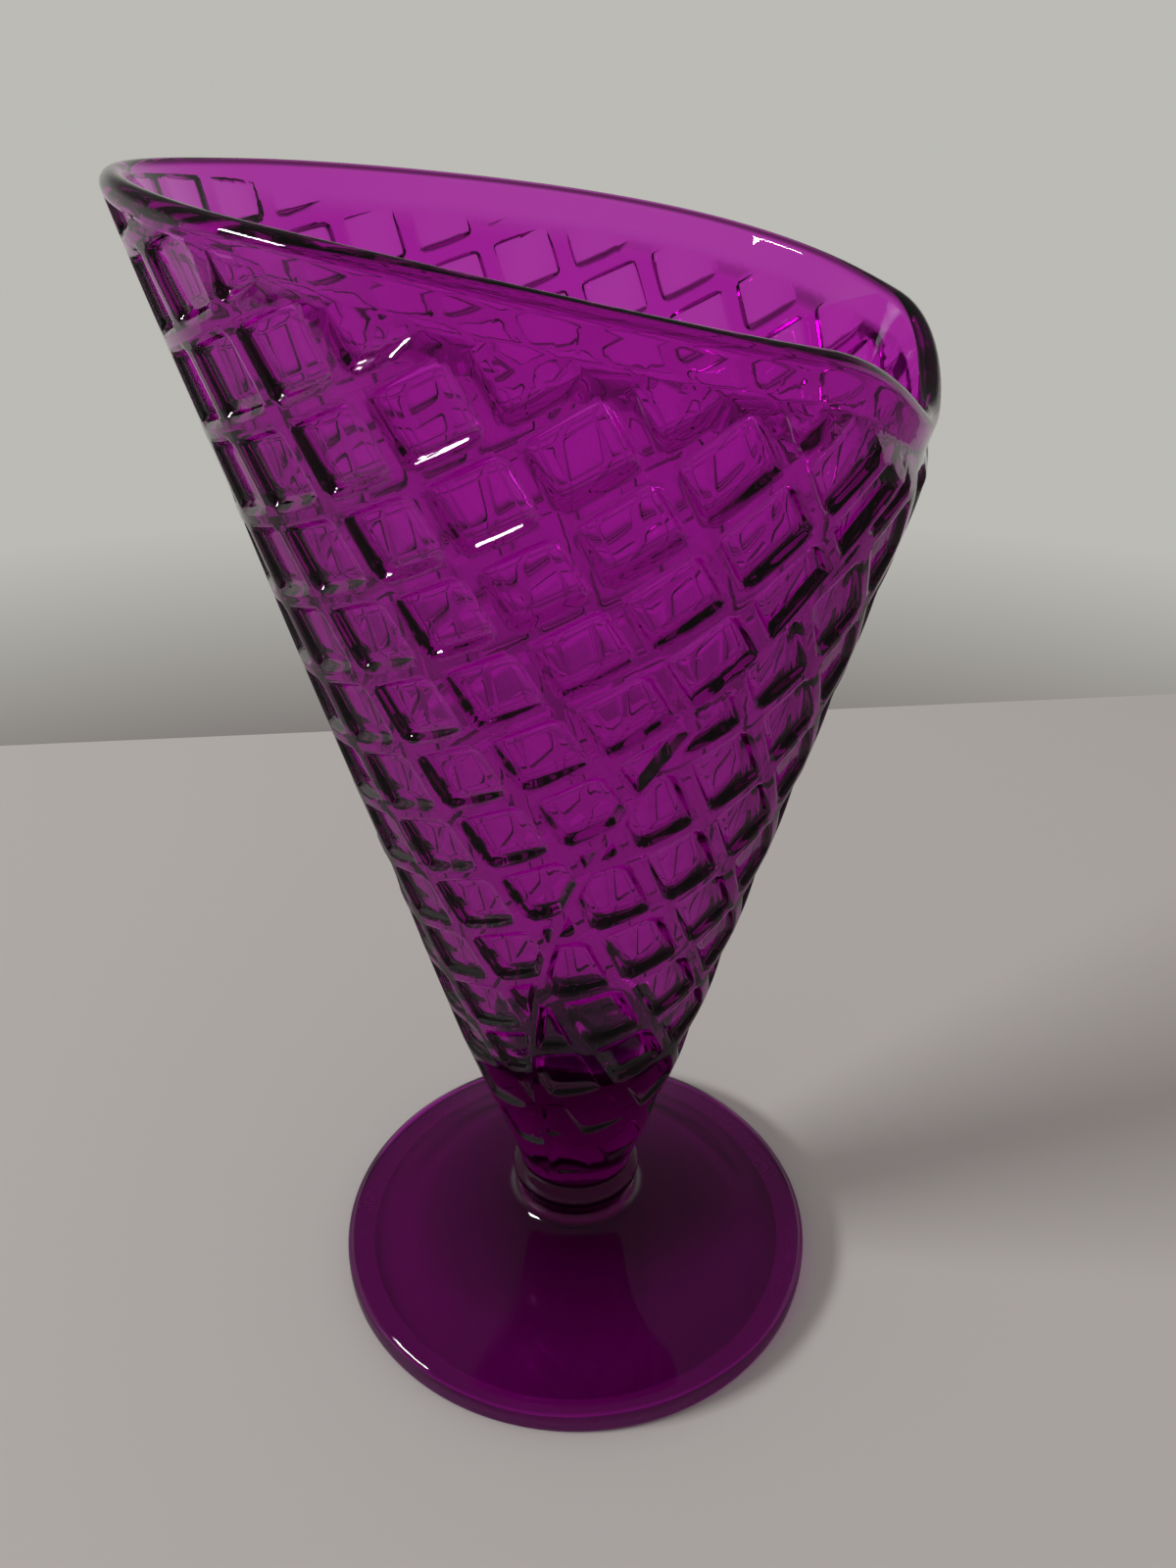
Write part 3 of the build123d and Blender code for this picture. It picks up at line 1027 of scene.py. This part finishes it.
@dataclass(frozen=True)
class Studio:
    """A pale table top in front of a pale wall, a soft lamp, and the camera.

    Attributes:
        table_colour: colour of the table top.
        table_mirrored_shade: its colour where the glass mirrors it, as if in the shade of a dim room.
        wall_colour: colour of the wall, seen directly or through the glass.
        room_colour: colour of the rest of the room, above the wall and in front.
        fill_colour: soft light from all round on the table top.
        wall_shade_colour: colour of the shaded foot of the wall.
        wall_foot: angle under the horizon at which the wall is darkest.
        wall_clear: angle under the horizon at which it has its own colour.
        wall_top: angles over the horizon between which the mirrored wall ends.
        ceiling: angles over the horizon between which the wall ends when seen directly.
        wall_behind: how far back a direction points where the mirrored wall starts, and where it is full.
        table_size: length and width of the table top.
        table_back: distance of its back edge behind the glass.
        table_turn: angle of its back edge.
        table_roughness: roughness of the table top.
        table_gloss: strength of its shine.
        camera_place: place of the camera.
        camera_pan: its turn to the left.
        camera_tilt: how far it looks down.
        camera_roll: its turn round the line of sight.
        camera_near: distance from which it sees.
        focal_share: focal length as a share of the sensor's height.
        sensor: height of the sensor, in millimetres.
        bounces: most bounces of a ray, and of those most that pass through glass.
        mirrored_bounces: most of them that are reflections.
    """

    table_colour: Colour = (0.60, 0.565, 0.54, 1.0)
    table_mirrored_shade: Colour = (0.25, 0.235, 0.225, 1.0)
    wall_colour: Colour = (0.50, 0.495, 0.465, 1.0)
    room_colour: Colour = (0.11, 0.107, 0.104, 1.0)
    fill_colour: Colour = (0.40, 0.392, 0.382, 1.0)
    wall_shade_colour: Colour = (0.15, 0.13, 0.125, 1.0)
    wall_foot: float = math.radians(-28.5)
    wall_clear: float = math.radians(-17)
    wall_top: tuple[float, float] = (math.radians(6), math.radians(24))
    ceiling: tuple[float, float] = (math.radians(25), math.radians(65))
    wall_behind: tuple[float, float] = (-0.2, 0.3)
    table_size: float = 6.0
    table_back: float = 0.203
    table_turn: float = math.radians(5.8)
    table_roughness: float = 0.55
    table_gloss: float = 0.3
    camera_place: tuple[float, float, float] = (0.0, -0.15909, 0.17816)
    camera_pan: float = math.radians(-0.61)
    camera_tilt: float = math.radians(29.05)
    camera_roll: float = math.radians(0.32)
    camera_near: float = 5 * MM
    focal_share: float = 1300 / 1600
    sensor: float = 36.0
    bounces: int = 24
    mirrored_bounces: int = 12

    def table(self) -> None:
        """Adds the table top, whose back edge meets the wall."""
        bm = bmesh.new()
        shift = Matrix.Translation((0, self.table_back, 0)) @ Matrix.Rotation(self.table_turn, 4, "Z")
        shift = shift @ Matrix.Translation((0, -self.table_size / 2, 0))
        bmesh.ops.create_grid(bm, x_segments=1, y_segments=1, size=self.table_size / 2, matrix=shift)
        mesh = bpy.data.meshes.new("table_top")
        bm.to_mesh(mesh)
        bm.free()
        table = bpy.data.objects.new("table_top", mesh)
        bpy.context.scene.collection.objects.link(table)
        made = bpy.data.materials.new("table_top")
        made.use_nodes = True
        tree = made.node_tree
        skin = tree.nodes["Principled BSDF"]
        path = tree.nodes.new("ShaderNodeLightPath").outputs
        # Painted shade: rays that the glass mirrors see the table darker, as if its front lay in the shade
        # of a dim room.
        mirrored = self.combined(tree, "SUBTRACT", path["Is Glossy Ray"], path["Is Transmission Ray"])
        colour = self.mixed(tree, mirrored, self.table_colour, self.table_mirrored_shade)
        tree.links.new(colour, skin.inputs["Base Color"])
        skin.inputs["Roughness"].default_value = self.table_roughness
        skin.inputs["Specular IOR Level"].default_value = self.table_gloss
        mesh.materials.append(made)

    def surroundings(self) -> None:
        """Sets the world: a pale wall to the eye and through the glass, mirrored from behind alone."""
        world = bpy.data.worlds.new("studio")
        bpy.context.scene.world = world
        world.use_nodes = True
        tree = world.node_tree
        place = tree.nodes.new("ShaderNodeTexCoord").outputs["Generated"]
        split = tree.nodes.new("ShaderNodeSeparateXYZ")
        tree.links.new(place, split.inputs[0])
        height, back = split.outputs["Z"], split.outputs["Y"]
        under_top = self.ramp(tree, height, math.sin(self.wall_top[1]), math.sin(self.wall_top[0]))
        under_ceiling = self.ramp(tree, height, math.sin(self.ceiling[1]), math.sin(self.ceiling[0]))
        behind = self.ramp(tree, back, *self.wall_behind)
        over_foot = self.ramp(tree, height, math.sin(self.wall_foot), math.sin(self.wall_clear), "LINEAR")
        path = tree.nodes.new("ShaderNodeLightPath").outputs
        seen = self.combined(tree, "MAXIMUM", path["Is Camera Ray"], path["Is Transmission Ray"])
        seen_wall = self.combined(tree, "MULTIPLY", seen, under_ceiling)
        mirrored_wall = self.combined(tree, "MULTIPLY", behind, under_top)
        share = self.combined(tree, "MAXIMUM", seen_wall, mirrored_wall)
        # Painted shade: the wall darkens towards its foot, where it meets the table top.
        wall = self.mixed(tree, over_foot, self.wall_shade_colour, self.wall_colour)
        room = self.mixed(tree, share, self.room_colour, wall)
        light = self.mixed(tree, path["Is Diffuse Ray"], room, self.fill_colour)
        tree.links.new(light, tree.nodes["Background"].inputs["Color"])

    @staticmethod
    def ramp(
        tree: bpy.types.NodeTree, value: Socket, start: float, end: float, kind: str = "SMOOTHSTEP"
    ) -> Socket:
        """Adds a share that goes from 0 to 1 as a value goes from a start to an end.

        Args:
            tree: the nodes that it is added to.
            value: the value.
            start: the value at 0; it may be the larger one.
            end: the value at 1.
            kind: the way from 0 to 1.

        Returns:
            The share.
        """
        node = tree.nodes.new("ShaderNodeMapRange")
        node.interpolation_type = kind
        node.inputs["From Min"].default_value = start
        node.inputs["From Max"].default_value = end
        tree.links.new(value, node.inputs["Value"])
        return node.outputs["Result"]

    @staticmethod
    def combined(tree: bpy.types.NodeTree, kind: str, first: Socket, second: Socket) -> Socket:
        """Adds a value worked out from two others.

        Args:
            tree: the nodes that it is added to.
            kind: the operation.
            first: one value.
            second: the other.

        Returns:
            The new value.
        """
        node = tree.nodes.new("ShaderNodeMath")
        node.operation = kind
        tree.links.new(first, node.inputs[0])
        tree.links.new(second, node.inputs[1])
        return node.outputs[0]

    @staticmethod
    def mixed(tree: bpy.types.NodeTree, share: Socket, *colours: Socket | Colour) -> Socket:
        """Adds a mix of two colours.

        Args:
            tree: the nodes that it is added to.
            share: share of the second colour.
            *colours: the two, each a constant or another node's colour.

        Returns:
            The mixed colour.
        """
        node = tree.nodes.new("ShaderNodeMix")
        node.data_type = "RGBA"
        tree.links.new(share, node.inputs["Factor"])
        for name, colour in zip("AB", colours):
            if isinstance(colour, tuple):
                node.inputs[name].default_value = colour
            else:
                tree.links.new(colour, node.inputs[name])
        return node.outputs["Result"]

    def camera(self) -> None:
        """Adds the camera, looking down at the glass from in front."""
        data = bpy.data.cameras.new("camera")
        data.sensor_fit = "VERTICAL"
        data.sensor_width = self.sensor
        data.sensor_height = self.sensor
        data.lens = self.focal_share * self.sensor
        data.clip_start = self.camera_near
        camera = bpy.data.objects.new("camera", data)
        pan = Matrix.Rotation(self.camera_pan, 4, "Z")
        tilt = Matrix.Rotation(math.pi / 2 - self.camera_tilt, 4, "X")
        roll = Matrix.Rotation(self.camera_roll, 4, "Z")
        camera.matrix_world = Matrix.Translation(self.camera_place) @ pan @ tilt @ roll
        bpy.context.scene.collection.objects.link(camera)
        bpy.context.scene.camera = camera

    def build(self) -> None:
        """Builds the whole studio."""
        self.table()
        self.surroundings()
        for lamp in Lamp:
            lamp.light()
        self.camera()
        scene = bpy.context.scene
        scene.view_settings.view_transform = "Standard"
        scene.cycles.max_bounces = self.bounces
        scene.cycles.transmission_bounces = self.bounces
        scene.cycles.glossy_bounces = self.mirrored_bounces


def main() -> None:
    """Builds the glass and its studio."""
    logging.basicConfig(level=logging.INFO, format="%(name)s: %(message)s")
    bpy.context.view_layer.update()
    glass = SundaeGlass().build()
    glass.data.materials.append(VioletGlass().material())
    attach(glass, "root")
    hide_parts("waffle_bowl", "neck_button", "foot")
    log.info("sundae_glass: %d faces", len(glass.data.polygons))
    Studio().build()


if __name__ == "__main__":
    main()
